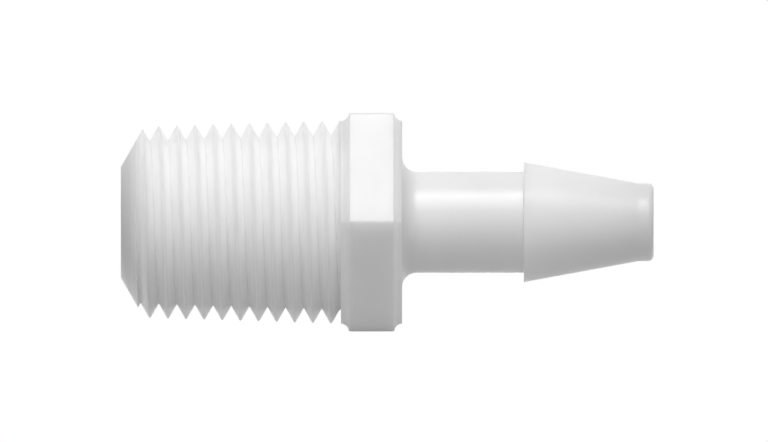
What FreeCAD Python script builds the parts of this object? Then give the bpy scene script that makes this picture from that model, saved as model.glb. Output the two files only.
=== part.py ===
import FreeCAD, Part
import Sketcher
import math
import os

# Threaded hose nipple: a moulded plastic fitting with a tapered pipe thread at one end, a hexagon
# in the middle and a single hose barb at the other end, with a bore right through.
# All of it is one moulded piece. Lengths are in millimetres. The axis is X, the thread's end face
# is at X = 0 and the barb points to +X. Two flats of the hexagon face up and down.

os.makedirs("parts", exist_ok=True)
Vector = FreeCAD.Vector
doc = FreeCAD.newDocument("hose_nipple")

# The driving sizes, one per row of the sheet: name, value, what it measures.
SIZES = [
    ("thread_pitch", 0.940741, "27 turns to the inch"),
    ("thread_length", 11.43, "end face to the hexagon"),
    ("thread_end_diameter", 9.82, "over the crests, at the end face"),
    ("taper_ratio", 16, "length in which the diameter grows by 1"),
    ("flank_angle", 60, "between the two flanks, in degrees"),
    ("crest_flat", 0.06, "width left between two grooves"),
    ("groove_offset", 1.506, "end face to a groove, along the top"),
    ("lead_face_diameter", 5.74, "flat end face, inside the lead chamfer"),
    ("lead_angle", 60, "lead chamfer to the axis, in degrees"),
    ("hexagon_flats", 11.34, "across flats"),
    ("hexagon_width", 3.175, "along the axis"),
    ("cove_radius", 0.4, "hollow along both rims of the hexagon"),
    ("edge_break", 0.07, "narrow chamfer between a flat and its coves"),
    ("shank_diameter", 5.244, "between the hexagon and the barb"),
    ("shank_length", 6.32, "hexagon to the barb's shoulder"),
    ("fillet_length", 0.74, "hollow blend of shank and hexagon, along the shank"),
    ("fillet_height", 0.77, "the same blend, up the hexagon's face"),
    ("barb_diameter", 6.22, "at the shoulder"),
    ("barb_length", 5.966, "shoulder to the nose"),
    ("nose_diameter", 4.03, "plain nose in front of the barb"),
    ("nose_length", 0.77, "plain nose, with its rounded edge"),
    ("nose_round_length", 0.28, "rounded edge of the nose, along the axis"),
    ("nose_round_depth", 0.29, "the same edge, across the axis"),
    ("thread_bore", 4.2, "bore on the thread side"),
    ("hose_bore", 2.8, "bore through shank and barb"),
    ("step_inset", 0.77, "hexagon's thread side to the step between the two bores"),
    ("core_overrun", 1, "how far the core of the bore stands out at both ends"),
    ("run_in_turns", 3, "turns of the groove's path in front of the end face"),
    ("turning_spare", 0.4, "rough flange over the hexagon's corners, and its cutter over that"),
]

sheet = doc.addObject("Spreadsheet::Sheet", "Sizes")
size = {}
for row, (name, value, note) in enumerate(SIZES, start=1):
    sheet.set(f"A{row}", note)
    sheet.set(f"B{row}", str(value))
    sheet.setAlias(f"B{row}", name)
    size[name] = value
doc.recompute()


def origin_plane(body, role):
    """One of the body's own origin planes."""
    return next(feature for feature in body.Origin.OriginFeatures if feature.Role == role)


def side_sketch(owner, name):
    """A sketch in the plane of X and Z, in a body or by itself."""
    if owner is None:
        sketch = doc.addObject("Sketcher::SketchObject", name)
        sketch.Placement = FreeCAD.Placement(Vector(), FreeCAD.Rotation(Vector(1, 0, 0), 90))
    else:
        sketch = owner.newObject("Sketcher::SketchObject", name)
        sketch.AttachmentSupport = [(origin_plane(owner, "XZ_Plane"), "")]
        sketch.MapMode = "FlatFace"
    return sketch


def line(start, end):
    """A straight edge between two points, each given as X and Z."""
    return Part.LineSegment(Vector(*start, 0), Vector(*end, 0))


def chain(sketch, edges, smooth=()):
    """A closed outline of edges, each joined to the next, smoothly after the edges numbered so."""
    for number, edge in enumerate(edges):
        sketch.addGeometry(edge, False)
        if isinstance(edge, Part.LineSegment):
            way = edge.EndPoint - edge.StartPoint
            if abs(way.x) < 1e-9:
                sketch.addConstraint(Sketcher.Constraint("Vertical", number))
            elif abs(way.y) < 1e-9:
                sketch.addConstraint(Sketcher.Constraint("Horizontal", number))
    for number, edge in enumerate(edges):
        following = (number + 1) % len(edges)
        ends = ((1, edge.StartPoint), (2, edge.EndPoint))
        starts = ((1, edges[following].StartPoint), (2, edges[following].EndPoint))
        near = min(
            ((here - there).Length, end, start) for end, here in ends for start, there in starts
        )
        joint = "Tangent" if number in smooth else "Coincident"
        sketch.addConstraint(Sketcher.Constraint(joint, number, near[1], following, near[2]))


def outline(sketch, points):
    """A closed outline of straight edges from point to point."""
    chain(sketch, [line(start, end) for start, end in zip(points, points[1:] + points[:1])])


def drive(sketch, name, expression, *constraint):
    """A dimension of the sketch that follows the sheet."""
    index = sketch.addConstraint(Sketcher.Constraint(*constraint))
    sketch.renameConstraint(index, name)
    sketch.setExpression(f"Constraints.{name}", expression)


def across(sketch, name, expression, edge, value):
    """Distance along the axis from the end face to the start of an edge."""
    drive(sketch, name, expression, "DistanceX", -1, 1, edge, 1, value)


def above(sketch, name, expression, edge, value):
    """Radius at the start of an edge."""
    drive(sketch, name, expression, "DistanceY", -1, 1, edge, 1, value)


def arc(centre, radius, start, end):
    """An arc of a circle, anticlockwise between two angles in degrees."""
    circle = Part.Circle(Vector(*centre, 0), Vector(0, 0, 1), radius)
    return Part.ArcOfCircle(circle, math.radians(start), math.radians(end))


def quarter(centre, along, up, start):
    """A quarter of an ellipse, anticlockwise from an angle in degrees, from its two half lengths."""
    middle = Vector(*centre, 0)
    longer, shorter, turn = Vector(0, up, 0), Vector(-along, 0, 0), 90
    if along > up:
        longer, shorter, turn = Vector(along, 0, 0), Vector(0, up, 0), 0
    whole = Part.Ellipse(middle + longer, middle + shorter, middle)
    return Part.ArcOfEllipse(whole, math.radians(start - turn), math.radians(start + 90 - turn))


def thread_blank():
    """The tapered plug that the thread is cut in. It runs on into the hexagon, up to its middle."""
    body = doc.addObject("PartDesign::Body", "ThreadBlank")
    doc.recompute()
    slope = 0.5 / size["taper_ratio"]
    rise = math.tan(math.radians(size["lead_angle"]))
    end_radius = size["thread_end_diameter"] / 2
    lead_radius = size["lead_face_diameter"] / 2
    lead = (end_radius - lead_radius) / (rise - slope)
    far = size["thread_length"] + size["hexagon_width"] / 2
    sketch = side_sketch(body, "BlankSection")
    outline(sketch, [
        (0, 0),
        (0, lead_radius),
        (lead, lead_radius + lead * rise),
        (far, end_radius + far * slope),
        (far, 0),
    ])
    sketch.addConstraint(Sketcher.Constraint("Coincident", 0, 1, -1, 1))
    above(sketch, "lead_radius", "Sizes.lead_face_diameter / 2", 1, lead_radius)
    drive(sketch, "lead_angle", "Sizes.lead_angle", "Angle", 1, math.radians(size["lead_angle"]))
    across(sketch, "far_end", "Sizes.thread_length + Sizes.hexagon_width / 2", 3, far)
    above(
        sketch,
        "far_radius",
        "Sizes.thread_end_diameter / 2"
        " + (Sizes.thread_length + Sizes.hexagon_width / 2) / (2 * Sizes.taper_ratio)",
        3,
        end_radius + far * slope,
    )
    drive(sketch, "taper", "atan(0.5 / Sizes.taper_ratio)", "Angle", 2, math.atan(slope))
    turned = body.newObject("PartDesign::Revolution", "Blank")
    turned.Profile = sketch
    turned.ReferenceAxis = (sketch, ["H_Axis"])
    turned.Angle = 360
    body.Tip = turned
    return body


def thread_groove():
    """One continuous right-hand groove, wound round the taper from in front of the end face.

    Its section stands at the top of the nipple: a pointed V, as wide at the crests as the crest
    flat leaves it, and wider above them, up to a mouth that stays half a crest flat clear of the
    next turn. The walls above the mouth are upright.
    """
    pitch = size["thread_pitch"]
    slope = 0.5 / size["taper_ratio"]
    lean = math.tan(math.radians(size["flank_angle"] / 2))
    run_in = size["run_in_turns"] * pitch
    start = size["groove_offset"] - run_in
    crest = size["thread_end_diameter"] / 2 + start * slope
    half = (pitch - size["crest_flat"]) / 2
    half_mouth = (pitch - size["crest_flat"] / 2) / 2
    tip = crest - half / lean
    mouth = tip + half_mouth / lean
    brim = mouth + half
    run_in_text = "Sizes.run_in_turns * Sizes.thread_pitch"
    start_text = f"(Sizes.groove_offset - {run_in_text})"
    crest_text = f"(Sizes.thread_end_diameter / 2 + {start_text} / (2 * Sizes.taper_ratio))"
    half_text = "(Sizes.thread_pitch - Sizes.crest_flat) / 2"
    half_mouth_text = "(Sizes.thread_pitch - Sizes.crest_flat / 2) / 2"
    lean_text = "tan(Sizes.flank_angle * 1deg / 2)"
    tip_text = f"{crest_text} - {half_text} / {lean_text}"
    mouth_text = f"{tip_text} + {half_mouth_text} / {lean_text}"

    path = doc.addObject("Part::Helix", "ThreadPath")
    path.SegmentLength = 1
    path.setExpression("Pitch", "Sizes.thread_pitch")
    path.setExpression("Height", f"Sizes.thread_length + Sizes.hexagon_width + {run_in_text}")
    path.setExpression("Radius", crest_text)
    path.setExpression("Angle", "atan(0.5 / Sizes.taper_ratio)")
    path.Placement = FreeCAD.Placement(Vector(start, 0, 0), FreeCAD.Rotation(Vector(1, 0, 1), 180))
    path.setExpression("Placement.Base.x", start_text)

    sketch = side_sketch(None, "GrooveSection")
    outline(sketch, [
        (start, tip),
        (start + half_mouth, mouth),
        (start + half_mouth, brim),
        (start - half_mouth, brim),
        (start - half_mouth, mouth),
    ])
    drive(sketch, "place", f"-{start_text}", "DistanceX", 0, 1, -1, 1, -start)
    above(sketch, "tip", tip_text, 0, tip)
    above(sketch, "mouth", mouth_text, 1, mouth)
    above(sketch, "brim", f"{mouth_text} + {half_text}", 2, brim)
    drive(sketch, "after", half_mouth_text, "DistanceX", 0, 1, 0, 2, half_mouth)
    drive(sketch, "before", half_mouth_text, "DistanceX", 4, 1, 0, 1, half_mouth)
    sketch.addConstraint(Sketcher.Constraint("Horizontal", 0, 2, 4, 1))
    doc.recompute()

    groove = doc.addObject("Part::Sweep", "ThreadGroove")
    groove.Sections = [sketch]
    groove.Spine = (path, [f"Edge{number + 1}" for number in range(len(path.Shape.Edges))])
    groove.Solid = True
    groove.Frenet = True
    return groove


def hexagon_and_barb():
    """Everything from the hexagon to the nose: a turned form whose flange gets six equal flats.

    Along both rims of the hexagon runs a quarter-round cove, which follows the flats and is
    mitred at the corners.
    """
    body = doc.addObject("PartDesign::Body", "HexagonAndBarb")
    doc.recompute()
    face = size["thread_length"]
    back = face + size["hexagon_width"]
    apothem = size["hexagon_flats"] / 2
    section = turned_section(body, face, back, apothem)
    turned = body.newObject("PartDesign::Revolution", "Turned")
    turned.Profile = section
    turned.ReferenceAxis = (section, ["H_Axis"])
    turned.Angle = 360
    doc.recompute()

    flat = flat_section(body, face, back, apothem)
    cut = body.newObject("PartDesign::Pocket", "TopFlat")
    cut.Profile = flat
    cut.Type = "ThroughAll"
    cut.Midplane = True
    doc.recompute()
    if not cut.Shape.Volume < turned.Shape.Volume - 1e-3:
        raise RuntimeError("the hexagon's flat takes nothing off the flange")
    flats = body.newObject("PartDesign::PolarPattern", "SixFlats")
    flats.Originals = [cut]
    flats.Axis = (flat, ["H_Axis"])
    flats.Angle = 360
    flats.Occurrences = 6
    body.Tip = flats
    return body


def turned_section(body, face, back, apothem):
    """Half the outline from the flange to the nose: hollow blend, shank, sharp shoulder, barb, nose."""
    shoulder = back + size["shank_length"]
    nose = shoulder + size["barb_length"]
    tip = nose + size["nose_length"]
    flange = apothem / math.cos(math.radians(30)) + size["turning_spare"]
    shank = size["shank_diameter"] / 2
    barb = size["barb_diameter"] / 2
    nose_radius = size["nose_diameter"] / 2
    blend_x = back + size["fillet_length"]
    blend_z = shank + size["fillet_height"]
    round_x = tip - size["nose_round_length"]
    round_z = nose_radius - size["nose_round_depth"]
    sketch = side_sketch(body, "TurnedSection")
    chain(sketch, [
        line((face, 0), (face, flange)),
        line((face, flange), (back, flange)),
        line((back, flange), (back, blend_z)),
        quarter((blend_x, blend_z), size["fillet_length"], size["fillet_height"], 180),
        line((blend_x, shank), (shoulder, shank)),
        line((shoulder, shank), (shoulder, barb)),
        line((shoulder, barb), (nose, nose_radius)),
        line((nose, nose_radius), (round_x, nose_radius)),
        quarter((round_x, round_z), size["nose_round_length"], size["nose_round_depth"], 0),
        line((tip, round_z), (tip, 0)),
        line((tip, 0), (face, 0)),
    ], smooth=(2, 7))
    blend, rounding = 3, 8
    sketch.addConstraint(Sketcher.Constraint("PointOnObject", 0, 1, -1))

    back_text = "Sizes.thread_length + Sizes.hexagon_width"
    shoulder_text = f"{back_text} + Sizes.shank_length"
    nose_text = f"{shoulder_text} + Sizes.barb_length"
    tip_text = f"{nose_text} + Sizes.nose_length"
    blend_x_text = f"{back_text} + Sizes.fillet_length"
    blend_z_text = "Sizes.shank_diameter / 2 + Sizes.fillet_height"
    round_x_text = f"{tip_text} - Sizes.nose_round_length"
    round_z_text = "Sizes.nose_diameter / 2 - Sizes.nose_round_depth"
    across(sketch, "face", "Sizes.thread_length", 0, face)
    across(sketch, "back", back_text, 2, back)
    across(sketch, "blend_end", blend_x_text, 4, blend_x)
    across(sketch, "shoulder", shoulder_text, 5, shoulder)
    across(sketch, "nose", nose_text, 7, nose)
    across(sketch, "tip", tip_text, 9, tip)
    flange_text = "Sizes.hexagon_flats / 2 / cos(30deg) + Sizes.turning_spare"
    above(sketch, "flange", flange_text, 1, flange)
    above(sketch, "shank", "Sizes.shank_diameter / 2", 4, shank)
    above(sketch, "barb", "Sizes.barb_diameter / 2", 6, barb)
    above(sketch, "nose_radius", "Sizes.nose_diameter / 2", 7, nose_radius)
    above(sketch, "tip_edge", round_z_text, 9, round_z)
    drive(sketch, "blend_top", blend_z_text, "DistanceY", -1, 1, 2, 2, blend_z)
    drive(sketch, "round_start", round_x_text, "DistanceX", -1, 1, 7, 2, round_x)
    drive(sketch, "blend_x", blend_x_text, "DistanceX", -1, 1, blend, 3, blend_x)
    drive(sketch, "blend_z", blend_z_text, "DistanceY", -1, 1, blend, 3, blend_z)
    drive(sketch, "round_x", round_x_text, "DistanceX", -1, 1, rounding, 3, round_x)
    drive(sketch, "round_z", round_z_text, "DistanceY", -1, 1, rounding, 3, round_z)
    return sketch


def flat_section(body, face, back, apothem):
    """What one flat takes off the round flange, seen from the side, with its two coves.

    Each cove is a quarter round about the corner of the face and the flat. A narrow chamfer
    breaks the sharp edge between cove and flat.
    """
    cove = size["cove_radius"]
    bevel = size["edge_break"]
    foot = apothem - cove
    brim = apothem / math.cos(math.radians(30)) + 2 * size["turning_spare"]
    lift = math.sqrt(cove * cove - bevel * bevel)
    slant = math.degrees(math.asin(bevel / cove))
    sketch = side_sketch(body, "FlatSection")
    chain(sketch, [
        line((face - cove, foot), (face, foot)),
        arc((face, apothem), cove, -90, -slant),
        line((face + lift, apothem - bevel), (face + cove + bevel, apothem)),
        line((face + cove + bevel, apothem), (back - cove - bevel, apothem)),
        line((back - cove - bevel, apothem), (back - lift, apothem - bevel)),
        arc((back, apothem), cove, 180 + slant, 270),
        line((back, foot), (back + cove, foot)),
        line((back + cove, foot), (back + cove, brim)),
        line((back + cove, brim), (face - cove, brim)),
        line((face - cove, brim), (face - cove, foot)),
    ])
    front_cove, back_cove = 1, 5
    face_text = "Sizes.thread_length"
    back_text = "Sizes.thread_length + Sizes.hexagon_width"
    apothem_text = "Sizes.hexagon_flats / 2"
    rim_text = "Sizes.cove_radius + Sizes.edge_break"
    drive(sketch, "front_x", face_text, "DistanceX", -1, 1, front_cove, 3, face)
    drive(sketch, "back_x", back_text, "DistanceX", -1, 1, back_cove, 3, back)
    drive(sketch, "front_z", apothem_text, "DistanceY", -1, 1, front_cove, 3, apothem)
    drive(sketch, "back_z", apothem_text, "DistanceY", -1, 1, back_cove, 3, apothem)
    drive(sketch, "front_radius", "Sizes.cove_radius", "Radius", front_cove, cove)
    drive(sketch, "back_radius", "Sizes.cove_radius", "Radius", back_cove, cove)
    drive(sketch, "front_foot", face_text, "DistanceX", -1, 1, 0, 2, face)
    drive(sketch, "back_foot", back_text, "DistanceX", -1, 1, 6, 1, back)
    above(sketch, "front_break", f"{apothem_text} - Sizes.edge_break", 2, apothem - bevel)
    drive(
        sketch, "back_break", f"{apothem_text} - Sizes.edge_break", "DistanceY", -1, 1, 4, 2,
        apothem - bevel,
    )
    above(sketch, "flat", apothem_text, 3, apothem)
    across(sketch, "flat_start", f"{face_text} + {rim_text}", 3, face + cove + bevel)
    across(sketch, "flat_end", f"{back_text} - ({rim_text})", 4, back - cove - bevel)
    drive(sketch, "before", "Sizes.cove_radius", "DistanceX", 0, 1, 0, 2, cove)
    drive(sketch, "after", "Sizes.cove_radius", "DistanceX", 6, 1, 6, 2, cove)
    brim_text = "Sizes.hexagon_flats / 2 / cos(30deg) + 2 * Sizes.turning_spare"
    above(sketch, "brim", brim_text, 8, brim)
    return sketch


def bore_core():
    """The core that leaves the bore: wide on the thread side, then a square step to the hose side."""
    body = doc.addObject("PartDesign::Body", "BoreCore")
    doc.recompute()
    wide = size["thread_bore"] / 2
    narrow = size["hose_bore"] / 2
    step = size["thread_length"] + size["step_inset"]
    overrun = size["core_overrun"]
    whole = (
        size["thread_length"] + size["hexagon_width"] + size["shank_length"]
        + size["barb_length"] + size["nose_length"]
    )
    sketch = side_sketch(body, "BoreSection")
    outline(sketch, [
        (-overrun, 0),
        (-overrun, wide),
        (step, wide),
        (step, narrow),
        (whole + overrun, narrow),
        (whole + overrun, 0),
    ])
    sketch.addConstraint(Sketcher.Constraint("PointOnObject", 0, 1, -1))
    drive(sketch, "out_front", "Sizes.core_overrun", "DistanceX", 0, 1, -1, 1, overrun)
    above(sketch, "wide", "Sizes.thread_bore / 2", 1, wide)
    above(sketch, "narrow", "Sizes.hose_bore / 2", 3, narrow)
    across(sketch, "step", "Sizes.thread_length + Sizes.step_inset", 2, step)
    across(
        sketch,
        "out_back",
        "Sizes.thread_length + Sizes.hexagon_width + Sizes.shank_length"
        " + Sizes.barb_length + Sizes.nose_length + Sizes.core_overrun",
        4,
        whole + overrun,
    )
    turned = body.newObject("PartDesign::Revolution", "Core")
    turned.Profile = sketch
    turned.ReferenceAxis = (sketch, ["H_Axis"])
    turned.Angle = 360
    body.Tip = turned
    return body


blank = thread_blank()
groove = thread_groove()
doc.recompute()
threaded = doc.addObject("Part::Cut", "ThreadedEnd")
threaded.Base = blank
threaded.Tool = groove
solid_end = hexagon_and_barb()
joined = doc.addObject("Part::Fuse", "Joined")
joined.Base = threaded
joined.Tool = solid_end
nipple = doc.addObject("Part::Cut", "Nipple")
nipple.Base = joined
nipple.Tool = bore_core()
nipple.Label = "hose_nipple"
nipple.Placement = FreeCAD.Placement()
doc.recompute()

for item in doc.Objects:
    if "Invalid" in item.State or "Error" in item.State:
        raise RuntimeError(f"{item.Name} failed: {item.State}")
    if item.TypeId == "Sketcher::SketchObject" and not item.FullyConstrained:
        raise RuntimeError(f"{item.Name} is not fully constrained")
if nipple.Shape.isNull() or not nipple.Shape.isValid():
    raise RuntimeError("the nipple's shape is not valid")
if len(nipple.Shape.Solids) != 1:
    raise RuntimeError(f"the nipple has {len(nipple.Shape.Solids)} solids")
if not nipple.Shape.Volume < joined.Shape.Volume - 1e-3:
    raise RuntimeError("the bore takes nothing out of the nipple")

nipple.Shape.exportStep(f"parts/{nipple.Label}.step")
print(f"{nipple.Label}: volume {nipple.Shape.Volume:.2f} mm3, {len(nipple.Shape.Faces)} faces")
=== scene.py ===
import math

import bmesh
import bpy
from mathutils import Matrix, Vector


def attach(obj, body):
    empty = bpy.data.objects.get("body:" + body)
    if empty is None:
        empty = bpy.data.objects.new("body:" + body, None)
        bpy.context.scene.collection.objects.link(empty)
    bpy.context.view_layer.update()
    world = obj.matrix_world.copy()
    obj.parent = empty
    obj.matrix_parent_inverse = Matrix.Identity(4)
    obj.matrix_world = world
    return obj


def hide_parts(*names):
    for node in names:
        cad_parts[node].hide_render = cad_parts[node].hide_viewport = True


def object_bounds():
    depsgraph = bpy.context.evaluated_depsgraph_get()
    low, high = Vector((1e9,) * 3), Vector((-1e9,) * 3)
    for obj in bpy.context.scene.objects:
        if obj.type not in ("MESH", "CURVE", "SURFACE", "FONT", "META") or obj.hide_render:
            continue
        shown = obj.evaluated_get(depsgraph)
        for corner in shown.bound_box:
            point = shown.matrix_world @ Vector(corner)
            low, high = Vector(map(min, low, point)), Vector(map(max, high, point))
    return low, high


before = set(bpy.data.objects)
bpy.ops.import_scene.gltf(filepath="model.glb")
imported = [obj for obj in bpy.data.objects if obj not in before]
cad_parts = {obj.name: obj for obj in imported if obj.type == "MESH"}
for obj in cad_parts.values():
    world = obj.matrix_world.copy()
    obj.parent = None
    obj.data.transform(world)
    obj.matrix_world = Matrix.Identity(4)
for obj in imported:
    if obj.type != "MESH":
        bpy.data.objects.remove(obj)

cad_low, cad_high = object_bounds()
scene = bpy.context.scene


# Camera: level, square on to the side of the nipple and without perspective, as flat a view as the
# photograph's. The thread is on the left, and one corner of the hexagon faces it. It looks a little
# left of the nipple's middle and a little above its axis, as in the photograph.
mm = 0.001
picture_width = 39.87 * mm
aim_left = 0.166 * mm
aim_up = 0.066 * mm
stand_off = 0.3
middle = (cad_low + cad_high) / 2

camera_data = bpy.data.cameras.new("camera")
camera_data.type = "ORTHO"
camera_data.ortho_scale = picture_width
camera_data.clip_start = 0.01
camera_data.clip_end = 5
camera = bpy.data.objects.new("camera", camera_data)
scene.collection.objects.link(camera)
camera.location = (middle.x - aim_left, -stand_off, aim_up)
camera.rotation_euler = (math.radians(90), 0, 0)
scene.camera = camera


# Threaded end: a tapered plug of white plastic with one right-hand groove, 27 turns to the inch,
# moulded in one with the rest. It is made flat, as a rack of slanted ridges, cut and softened, then
# rolled up. Lengths are in millimetres until the whole nipple is scaled.
pitch = 25.4 / 27
thread_length = 11.43
end_radius = 4.91
slope = 1 / 32
flank_lean = math.tan(math.radians(30))
crest_flat = 0.06
crest_cut = crest_flat / 2 / flank_lean
groove_offset = 1.506
lead_radius = 2.87
lead_rise = math.tan(math.radians(60))
thread_bore_radius = 2.1
lead_edge_round = 0.03
end_edge_round = 0.06

# The rack runs along Y and is as long as a circle of its radius is round. It has a few turns to
# spare, because its ridges slant, and spills over at both ends before it is cut. It closes at the
# nipple's back.
rack_radius = 4.5
rack_length = 2 * math.pi * rack_radius
first_turn = -4
last_turn = math.ceil(thread_length / pitch) + 2
spill = 0.5
seam = math.radians(270)
seam_turn = seam / (2 * math.pi)
seam_y = -(seam_turn - 1) * rack_length
steps_round = 144

# How near counts as touching, and from what length or bend an edge counts as long or sharp.
hair = 1e-6
shortest_edge = 1e-3
long_edge = 1
end_gap = 1e-4
seam_gap = 3e-3
sharp_bend = 20


def cut_off(shape, point, normal, fill=True):
    """Cut a shape with a plane, drop what lies on the normal's side, and close the cut if asked."""
    everything = [*shape.verts, *shape.edges, *shape.faces]
    cut = bmesh.ops.bisect_plane(
        shape, geom=everything, dist=hair, plane_co=point, plane_no=normal, clear_outer=True
    )
    rim = [item for item in cut["geom_cut"] if isinstance(item, bmesh.types.BMEdge)]
    if fill:
        bmesh.ops.holes_fill(shape, edges=rim)
    return rim


def soften(shape, edges, width, segments):
    """Round some edges of a shape, as the mould leaves them."""
    bmesh.ops.bevel(
        shape, geom=edges, offset=width, segments=segments, profile=0.5,
        affect="EDGES", material=-1, clamp_overlap=False,
    )


def bend_at(edge):
    """The angle by which the surface turns at an edge, in degrees."""
    return math.degrees(edge.calc_face_angle(0))


def reach_of(edge):
    """How far an edge reaches along the rack."""
    return abs(edge.verts[1].co.y - edge.verts[0].co.y)


def foot_of(edge):
    """The lower end of an edge, by its height above the nipple's axis."""
    return min(vert.co.z for vert in edge.verts)


rack = bmesh.new()
ridge_height = end_radius + crest_cut
valley_height = ridge_height - pitch / 2 / flank_lean
section = []
for turn in range(first_turn, last_turn):
    valley_x = groove_offset + turn * pitch
    ridge_x = valley_x + pitch / 2
    section.append(rack.verts.new((valley_x, 0, valley_height + valley_x * slope)))
    section.append(rack.verts.new((ridge_x, 0, ridge_height + ridge_x * slope)))
first_valley, last_ridge = section[0], section[-1]
section.append(rack.verts.new((last_ridge.co.x, 0, thread_bore_radius)))
section.append(rack.verts.new((first_valley.co.x, 0, thread_bore_radius)))
near_end = rack.faces.new(section)


def slide_along(verts, turns):
    """Move a section of the rack along its ridges by a number of turns of the thread."""
    bmesh.ops.translate(rack, verts=verts, vec=(turns * pitch, -turns * rack_length, 0))
    on_thread = [vert for vert in verts if vert.co.z > thread_bore_radius + hair]
    bmesh.ops.translate(rack, verts=on_thread, vec=(0, 0, turns * pitch * slope))


slide_along(section, seam_turn - 1 - spill / rack_length)
grown = bmesh.ops.extrude_face_region(rack, geom=[near_end], use_keep_orig=True)
far_section = [item for item in grown["geom"] if isinstance(item, bmesh.types.BMVert)]
slide_along(far_section, 1 + 2 * spill / rack_length)
bmesh.ops.recalc_face_normals(rack, faces=rack.faces)

ridges = []
for edge in rack.edges:
    on_thread = foot_of(edge) > thread_bore_radius + hair
    if reach_of(edge) > rack_length and on_thread and edge.is_convex:
        ridges.append(edge)
soften(rack, ridges, crest_cut / flank_lean, segments=4)

# The lead chamfer and the end face are cut off next, then the end at the hexagon and the spills.
lead_rim = cut_off(rack, (0, 0, lead_radius), Vector((-lead_rise, 0, 1)).normalized())
sharp_rim = []
for edge in lead_rim:
    outside = foot_of(edge) > lead_radius
    if outside and reach_of(edge) > shortest_edge and bend_at(edge) > sharp_bend:
        sharp_rim.append(edge)
soften(rack, sharp_rim, lead_edge_round, segments=2)
end_rim = cut_off(rack, (0, 0, 0), (-1, 0, 0))
long_rim = [edge for edge in end_rim if reach_of(edge) > long_edge]
soften(rack, long_rim, end_edge_round, segments=3)
cut_off(rack, (thread_length, 0, 0), (1, 0, 0), fill=False)
cut_off(rack, (0, seam_y, 0), (0, 1, 0), fill=False)
cut_off(rack, (0, seam_y - rack_length, 0), (0, -1, 0), fill=False)

# It is divided along its length, rolled up round the axis, and closed where its two ends meet.
for step in range(1, steps_round):
    everything = [*rack.verts, *rack.edges, *rack.faces]
    place = (0, seam_y - rack_length * step / steps_round, 0)
    bmesh.ops.bisect_plane(
        rack, geom=everything, dist=hair, plane_co=place, plane_no=(0, 1, 0)
    )
ends = [
    vert for vert in rack.verts
    if min(abs(vert.co.y - seam_y), abs(vert.co.y - seam_y + rack_length)) < end_gap
]
for vert in rack.verts:
    turn = -vert.co.y / rack_radius
    radius = vert.co.z
    vert.co.y = -radius * math.sin(turn)
    vert.co.z = radius * math.cos(turn)
bmesh.ops.remove_doubles(rack, verts=ends, dist=seam_gap)


# Hexagon: the collar that a spanner holds, of the same moulding, with one flat up and one down. A
# small hollow runs along both of its rims and is mitred at the corners, which are a little rounded.
# It is grown ring by ring along the axis, from one face to the other.
hexagon_width = 3.175
hexagon_back = thread_length + hexagon_width
apothem = 5.67
hollow_radius = 0.4
rim_round = 0.1
foot_round = 0.04
corner_round = 0.1


def arc(centre_x, centre_out, radius, start, end, segments):
    """Points of an arc, each given along and out from the axis, between two angles in degrees."""
    points = []
    for number in range(segments + 1):
        angle = math.radians(start + (end - start) * number / segments)
        points.append((centre_x + radius * math.cos(angle), centre_out + radius * math.sin(angle)))
    return points


def rim_outline(foot, foot_segments):
    """One hollow with its rounded edges, from the hexagon's face at X = 0 up to the flat."""
    foot_drop = math.sqrt(hollow_radius ** 2 + 2 * hollow_radius * foot)
    rim_reach = math.sqrt(hollow_radius ** 2 + 2 * hollow_radius * rim_round)
    foot_turn = math.degrees(math.atan2(foot, foot_drop))
    rim_turn = math.degrees(math.atan2(rim_round, rim_reach))
    bowl = arc(0, apothem, hollow_radius, foot_turn - 90, -rim_turn, segments=10)
    edge = arc(rim_reach, apothem - rim_round, rim_round, 180 - rim_turn, 90, segments=4)
    toe = arc(foot, apothem - foot_drop, foot, 180, 90 + foot_turn, foot_segments) if foot else []
    return [*toe[:-1], *bowl, *edge[1:]]


front = [(thread_length + x, out) for x, out in rim_outline(foot=0, foot_segments=0)]
rear = [(hexagon_back - x, out) for x, out in rim_outline(foot_round, foot_segments=3)]
collar = bmesh.new()
bmesh.ops.create_circle(collar, segments=6, radius=1 / math.cos(math.radians(30)))
bmesh.ops.bevel(
    collar, geom=collar.verts[:], offset=corner_round / apothem, segments=4, profile=0.5,
    affect="VERTICES", material=-1, clamp_overlap=False,
)
quarter_turn = Matrix.Rotation(math.radians(90), 3, "Y")
bmesh.ops.rotate(collar, verts=collar.verts, cent=(0, 0, 0), matrix=quarter_turn)
ring = collar.edges[:]
place, reach = front[0]
bmesh.ops.scale(collar, verts=collar.verts, vec=(1, reach, reach))
bmesh.ops.translate(collar, verts=collar.verts, vec=(place, 0, 0))
for next_place, next_reach in [*front[1:], *reversed(rear)]:
    grown = bmesh.ops.extrude_edge_only(collar, edges=ring)["geom"]
    ring = [item for item in grown if isinstance(item, bmesh.types.BMEdge) and item.is_boundary]
    ring_verts = list({vert for edge in ring for vert in edge.verts})
    growth = next_reach / reach
    bmesh.ops.scale(collar, verts=ring_verts, vec=(1, growth, growth))
    bmesh.ops.translate(collar, verts=ring_verts, vec=(next_place - place, 0, 0))
    place, reach = next_place, next_reach


# Hose side: a shank of the same moulding that grows out of the hexagon with a hollow blend, and
# one long barb with a sharp shoulder and a short plain nose. Its outline runs round the nose and
# back along the bore to the square step inside the hexagon, and is spun once round.
shank_radius = 2.622
blend_radius = 0.75
shoulder = hexagon_back + 6.32
barb_radius = 3.11
nose_start = shoulder + 5.966
nose_radius = 2.015
tip = nose_start + 0.77
hose_bore_radius = 1.4
bore_step = thread_length + 0.77

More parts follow.
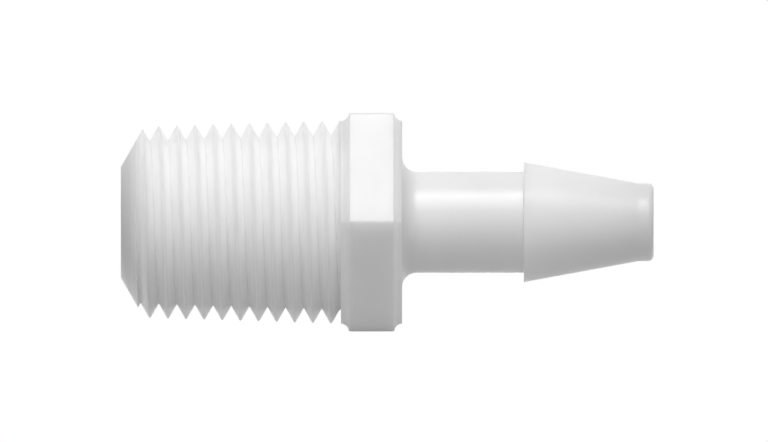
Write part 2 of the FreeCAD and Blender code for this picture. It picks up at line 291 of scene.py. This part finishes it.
# Each corner of the outline, given along and out from the axis, and how far it is rounded.
corners = (
    (shoulder, shank_radius, 0.05),
    (shoulder, barb_radius, 0.03),
    (nose_start, nose_radius, 0.1),
    (tip, nose_radius, 0.28),
    (tip, hose_bore_radius, 0.05),
    (bore_step, hose_bore_radius, 0.05),
    (bore_step, thread_bore_radius, 0.05),
)
tail = bmesh.new()
blend_centre = (hexagon_back + blend_radius, shank_radius + blend_radius)
turned_line = [
    *arc(*blend_centre, blend_radius, 180, 270, segments=12),
    *((x, out) for x, out, width in corners),
    (thread_length, thread_bore_radius),
]
outline = [tail.verts.new((x, 0, out)) for x, out in turned_line]
for pair in zip(outline, outline[1:]):
    tail.edges.new(pair)
for vert, (x, out, width) in zip(outline[-1 - len(corners):-1], corners):
    bmesh.ops.bevel(
        tail, geom=[vert], offset=width, segments=6 if width > 0.2 else 3, profile=0.5,
        affect="VERTICES", material=-1, clamp_overlap=False,
    )
bmesh.ops.spin(
    tail, geom=[*tail.verts, *tail.edges], cent=(0, 0, 0), axis=(1, 0, 0),
    angle=2 * math.pi, steps=steps_round, use_merge=True,
)


# The whole nipple: the three are one moulding. The hexagon's two faces close the gaps between them,
# and the bore runs through in one wall. It is scaled to metres at the end.
bore_gap = 5e-4
face_gap = 1e-3
sharp_angle = 35

nipple = bmesh.new()
for shape in (rack, collar, tail):
    mesh = bpy.data.meshes.new("shape")
    shape.to_mesh(mesh)
    shape.free()
    nipple.from_mesh(mesh)
    bpy.data.meshes.remove(mesh)
bmesh.ops.remove_doubles(nipple, verts=nipple.verts, dist=bore_gap)
for face_x, outward in ((thread_length, -1), (hexagon_back, 1)):
    rims = [
        edge for edge in nipple.edges
        if edge.is_boundary and all(abs(vert.co.x - face_x) < face_gap for vert in edge.verts)
    ]
    for vert in {vert for edge in rims for vert in edge.verts}:
        vert.co.x = face_x
    bmesh.ops.triangle_fill(nipple, edges=rims, use_beauty=True, normal=(outward, 0, 0))
bmesh.ops.recalc_face_normals(nipple, faces=nipple.faces)
bmesh.ops.scale(nipple, verts=nipple.verts, vec=(mm, mm, mm))
for face in nipple.faces:
    face.smooth = True
mesh = bpy.data.meshes.new("hose_nipple_moulding")
nipple.to_mesh(mesh)
nipple.free()
mesh.set_sharp_from_angle(angle=math.radians(sharp_angle))
moulding = bpy.data.objects.new("hose_nipple_moulding", mesh)
scene.collection.objects.link(moulding)
even = moulding.modifiers.new("even shading", "WEIGHTED_NORMAL")
even.keep_sharp = True
even.weight = 50
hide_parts("hose_nipple")
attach(moulding, "root")

# Its plastic is white and matt, and lets light a little way in. Moulding leaves faint patches of
# tone and gloss, and a very fine skin. Painted shade makes the crests, roots, the lead chamfer and
# the hexagon's flats a little darker than the thread's flanks and the shank.
depth_of_light = 3
patch_size, gloss_size, skin_size = 2.5, 0.8, 0.12
skin_depth = 0.01
# How dark the painted shade makes the hexagon's flats.
flats_painted_shade = 0.78
fade = 0.1
thread_end = thread_length - 0.02

plastic = bpy.data.materials.new("moulded_plastic")
plastic.use_nodes = True
mesh.materials.append(plastic)
nodes = plastic.node_tree.nodes
links = plastic.node_tree.links
shader = nodes["Principled BSDF"]
shader.inputs["IOR"].default_value = 1.48
shader.inputs["Subsurface Weight"].default_value = 1
shader.inputs["Subsurface Radius"].default_value = (1, 1, 1)
shader.inputs["Subsurface Scale"].default_value = depth_of_light * mm
place_on = nodes.new("ShaderNodeTexCoord")


def mottle(size, detail, low, high):
    """Soft uneven patches of a given size in millimetres, worth between two values."""
    noise = nodes.new("ShaderNodeTexNoise")
    noise.inputs["Scale"].default_value = 1 / (size * mm)
    noise.inputs["Detail"].default_value = detail
    links.new(place_on.outputs["Object"], noise.inputs["Vector"])
    spread = nodes.new("ShaderNodeMapRange")
    spread.inputs["From Min"].default_value = 0.3
    spread.inputs["From Max"].default_value = 0.7
    spread.inputs["To Min"].default_value = low
    spread.inputs["To Max"].default_value = high
    links.new(noise.outputs["Fac"], spread.inputs["Value"])
    return spread.outputs["Result"]


def calculate(operation, first, second):
    """One plain calculation on two sockets or numbers."""
    node = nodes.new("ShaderNodeMath")
    node.operation = operation
    for socket, value in zip(node.inputs, (first, second)):
        if isinstance(value, (int, float)):
            socket.default_value = value
        else:
            links.new(value, socket)
    return node.outputs["Value"]


def painted_shade_along(length, painted_shades):
    """A painted shade of the plastic for each length, given as pairs of length in millimetres and
    shade.
    """
    first, last = painted_shades[0][0], painted_shades[-1][0]
    past_first = calculate("SUBTRACT", length, first * mm)
    ramp = nodes.new("ShaderNodeValToRGB")
    links.new(calculate("DIVIDE", past_first, (last - first) * mm), ramp.inputs["Fac"])
    stops = ramp.color_ramp.elements
    for place, shade in painted_shades[1:-1]:
        stops.new((place - first) / (last - first)).color = (shade, shade, shade, 1)
    for end in (0, -1):
        shade = painted_shades[end][1]
        stops[end].color = (shade, shade, shade, 1)
    ramp.color_ramp.interpolation = "EASE"
    return ramp.outputs["Color"]


# The thread's painted shade goes by the depth under the line of its crests, up to just short of
# the hexagon, and the painted shade of the smooth parts by the place along the axis.
along = nodes.new("ShaderNodeSeparateXYZ")
links.new(place_on.outputs["Object"], along.inputs["Vector"])
across = nodes.new("ShaderNodeVectorMath")
across.operation = "MULTIPLY"
across.inputs[1].default_value = (0, 1, 1)
links.new(place_on.outputs["Object"], across.inputs[0])
reach_out = nodes.new("ShaderNodeVectorMath")
reach_out.operation = "LENGTH"
links.new(across.outputs["Vector"], reach_out.inputs[0])
taper = calculate("MULTIPLY", along.outputs["X"], slope)
crest_line = calculate("ADD", taper, end_radius * mm)
depth = calculate("SUBTRACT", crest_line, reach_out.outputs["Value"])
# Painted shade darkens the crests, the roots, the lead chamfer and the end face; painted light
# brightens the flanks.
thread_painted_shade = painted_shade_along(depth, (
    (0, 0.79), (0.1, 0.875), (0.3, 0.97), (0.5, 1), (0.69, 1),
    (0.76, 0.88), (0.9, 0.87), (1.4, 0.79),
))
# Painted shade along the axis: the hexagon's flats are darker than the hollows beside them and the
# shank.
smooth_painted_shade = painted_shade_along(along.outputs["X"], (
    (thread_length + hollow_radius, 1),
    (thread_length + hollow_radius + fade, flats_painted_shade),
    (hexagon_back - hollow_radius - fade, flats_painted_shade),
    (hexagon_back - hollow_radius, 1),
    (hexagon_back + 0.5, 0.98),
))
# The painted shade: the thread's ramp up to just short of the hexagon, the smooth parts' ramp
# beyond.
painted_shade = nodes.new("ShaderNodeMix")
links.new(calculate("LESS_THAN", along.outputs["X"], thread_end * mm), painted_shade.inputs["Factor"])
links.new(smooth_painted_shade, painted_shade.inputs["A"])
links.new(thread_painted_shade, painted_shade.inputs["B"])
# Faint random patches of the moulding's own tone, on top of the painted shade.
patches = mottle(patch_size, detail=3, low=0.985, high=1)
painted_shade_with_patches = calculate("MULTIPLY", painted_shade.outputs["Result"], patches)
grey = nodes.new("ShaderNodeCombineColor")
for channel in ("Red", "Green", "Blue"):
    links.new(painted_shade_with_patches, grey.inputs[channel])
links.new(grey.outputs["Color"], shader.inputs["Base Color"])
links.new(mottle(gloss_size, detail=4, low=0.285, high=0.345), shader.inputs["Roughness"])
skin = nodes.new("ShaderNodeBump")
skin.inputs["Strength"].default_value = 0.1
skin.inputs["Distance"].default_value = skin_depth * mm
links.new(mottle(skin_size, detail=2, low=0, high=1), skin.inputs["Height"])
links.new(skin.outputs["Normal"], shader.inputs["Normal"])


# Tabletop: a plain pale matt sheet under the hexagon's lower flat. A camera and a reflection meet
# its own face, with the nipple's shadow on it. Other light meets an even pale glow, for what a
# white table throws back.
floor_size = 0.2
floor_glow = 0.4
floor_shape = bmesh.new()
bmesh.ops.create_grid(floor_shape, x_segments=1, y_segments=1, size=floor_size / 2)
bmesh.ops.translate(floor_shape, verts=floor_shape.verts, vec=(middle.x, 0, cad_low.z))
floor_mesh = bpy.data.meshes.new("tabletop")
floor_shape.to_mesh(floor_mesh)
floor_shape.free()
tabletop = bpy.data.objects.new("tabletop", floor_mesh)
scene.collection.objects.link(tabletop)


def seen_directly(tree):
    """One for a camera, glossy or transmission ray that meets a surface, nought for other light."""
    ray = tree.nodes.new("ShaderNodeLightPath")
    seen = ray.outputs["Is Camera Ray"]
    for kind in ("Is Glossy Ray", "Is Transmission Ray"):
        either = tree.nodes.new("ShaderNodeMath")
        either.operation = "MAXIMUM"
        tree.links.new(seen, either.inputs[0])
        tree.links.new(ray.outputs[kind], either.inputs[1])
        seen = either.outputs["Value"]
    return seen


sheet = bpy.data.materials.new("tabletop")
sheet.use_nodes = True
floor_mesh.materials.append(sheet)
tree = sheet.node_tree
seen_face = tree.nodes["Principled BSDF"]
seen_face.inputs["Base Color"].default_value = (0.8, 0.8, 0.8, 1)
seen_face.inputs["Roughness"].default_value = 0.9
seen_face.inputs["Specular IOR Level"].default_value = 0.1
seen_face.inputs["Emission Color"].default_value = (1, 1, 1, 1)
seen_face.inputs["Emission Strength"].default_value = 0.5
glow = tree.nodes.new("ShaderNodeEmission")
glow.inputs["Strength"].default_value = floor_glow
face = tree.nodes.new("ShaderNodeMixShader")
tree.links.new(seen_directly(tree), face.inputs["Fac"])
tree.links.new(glow.outputs["Emission"], face.inputs[1])
tree.links.new(seen_face.outputs["BSDF"], face.inputs[2])
tree.links.new(face.outputs["Shader"], tree.nodes["Material Output"].inputs["Surface"])


# Surround and lamps: a white backdrop, a dim even light from all round, and soft square lamps.
# Each lamp is given by its angle round from the camera and up, in degrees, its side in metres and
# its power in watts.
surround_grey = 0.13
world = bpy.data.worlds.new("studio")
world.use_nodes = True
scene.world = world
tree = world.node_tree
ambient = tree.nodes["Background"]
ambient.inputs["Color"].default_value = (surround_grey, surround_grey, surround_grey, 1)
backdrop = tree.nodes.new("ShaderNodeBackground")
backdrop.inputs["Color"].default_value = (1, 1, 1, 1)
choice = tree.nodes.new("ShaderNodeMixShader")
tree.links.new(seen_directly(tree), choice.inputs["Fac"])
tree.links.new(ambient.outputs["Background"], choice.inputs[1])
tree.links.new(backdrop.outputs["Background"], choice.inputs[2])
tree.links.new(choice.outputs["Shader"], tree.nodes["World Output"].inputs["Surface"])


def lamp(name, around, up, size, power, distance=0.4):
    """A square soft lamp that faces the nipple."""
    data = bpy.data.lights.new(name, "AREA")
    data.size = size
    data.energy = power
    soft_box = bpy.data.objects.new(name, data)
    scene.collection.objects.link(soft_box)
    turn = Matrix.Rotation(math.radians(around), 4, "Z")
    lift = Matrix.Rotation(math.radians(90 - up), 4, "X")
    away = Matrix.Translation((0, 0, distance))
    soft_box.matrix_world = Matrix.Translation(middle) @ turn @ lift @ away
    soft_box.visible_camera = False


lamp("key", around=0, up=52, size=0.25, power=0.92)
lamp("sheen", around=0, up=66, size=0.12, power=0.24)
lamp("front", around=0, up=12, size=0.25, power=0.17)
lamp("side", around=50, up=40, size=0.25, power=0.09)
lamp("back", around=180, up=50, size=0.5, power=0.19)
scene.view_settings.view_transform = "Standard"
